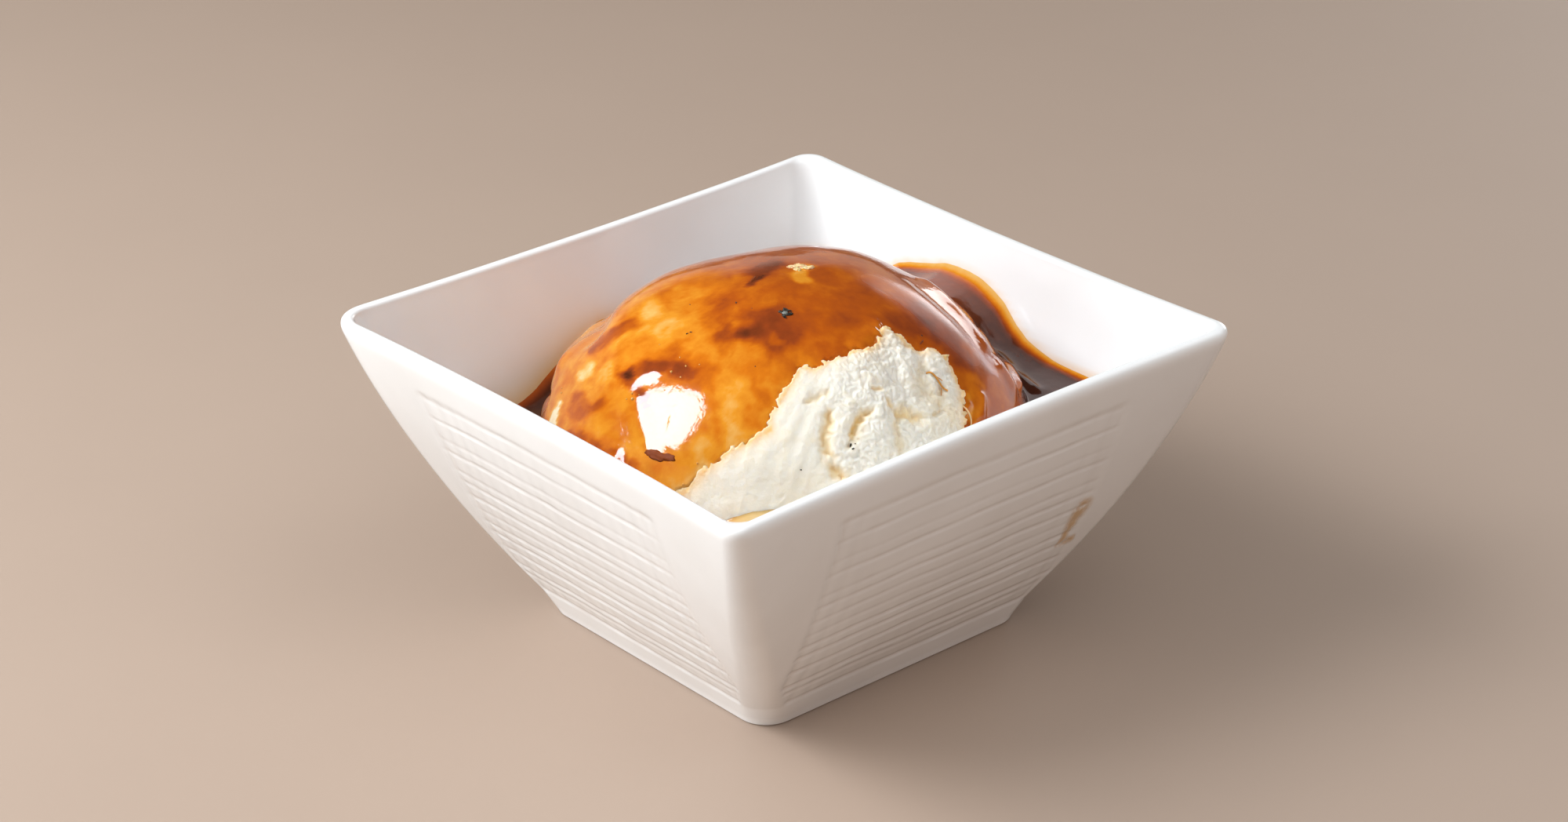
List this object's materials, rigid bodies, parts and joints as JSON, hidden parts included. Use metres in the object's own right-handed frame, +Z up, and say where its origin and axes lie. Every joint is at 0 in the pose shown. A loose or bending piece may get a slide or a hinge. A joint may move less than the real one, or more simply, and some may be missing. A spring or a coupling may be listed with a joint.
{
  "type": "mashed potato side in a square bowl",
  "caption": "Mound of mashed potato under brown gravy in a flared square porcelain bowl, with a bare patch of potato and a pool of gravy round it.",
  "frame": {"origin": "centre of the bowl's foot, on the table", "axes": "+Z up; the bowl's four sides face +X, -X, +Y and -Y; the bare patch of potato faces +X and -Y"},
  "size_m": [0.1226, 0.1226, 0.0723],
  "materials": {
    "porcelain": "white gloss glaze over fine pressed ridges",
    "potato": "moist, crumbly, creamy white",
    "gravy": "wet gloss, amber where thin and brown where thick"
  },
  "bodies": {
    "root": {"bowl": "porcelain", "mashed_potato": "potato", "gravy": "gravy"}
  },
  "joints": []
}
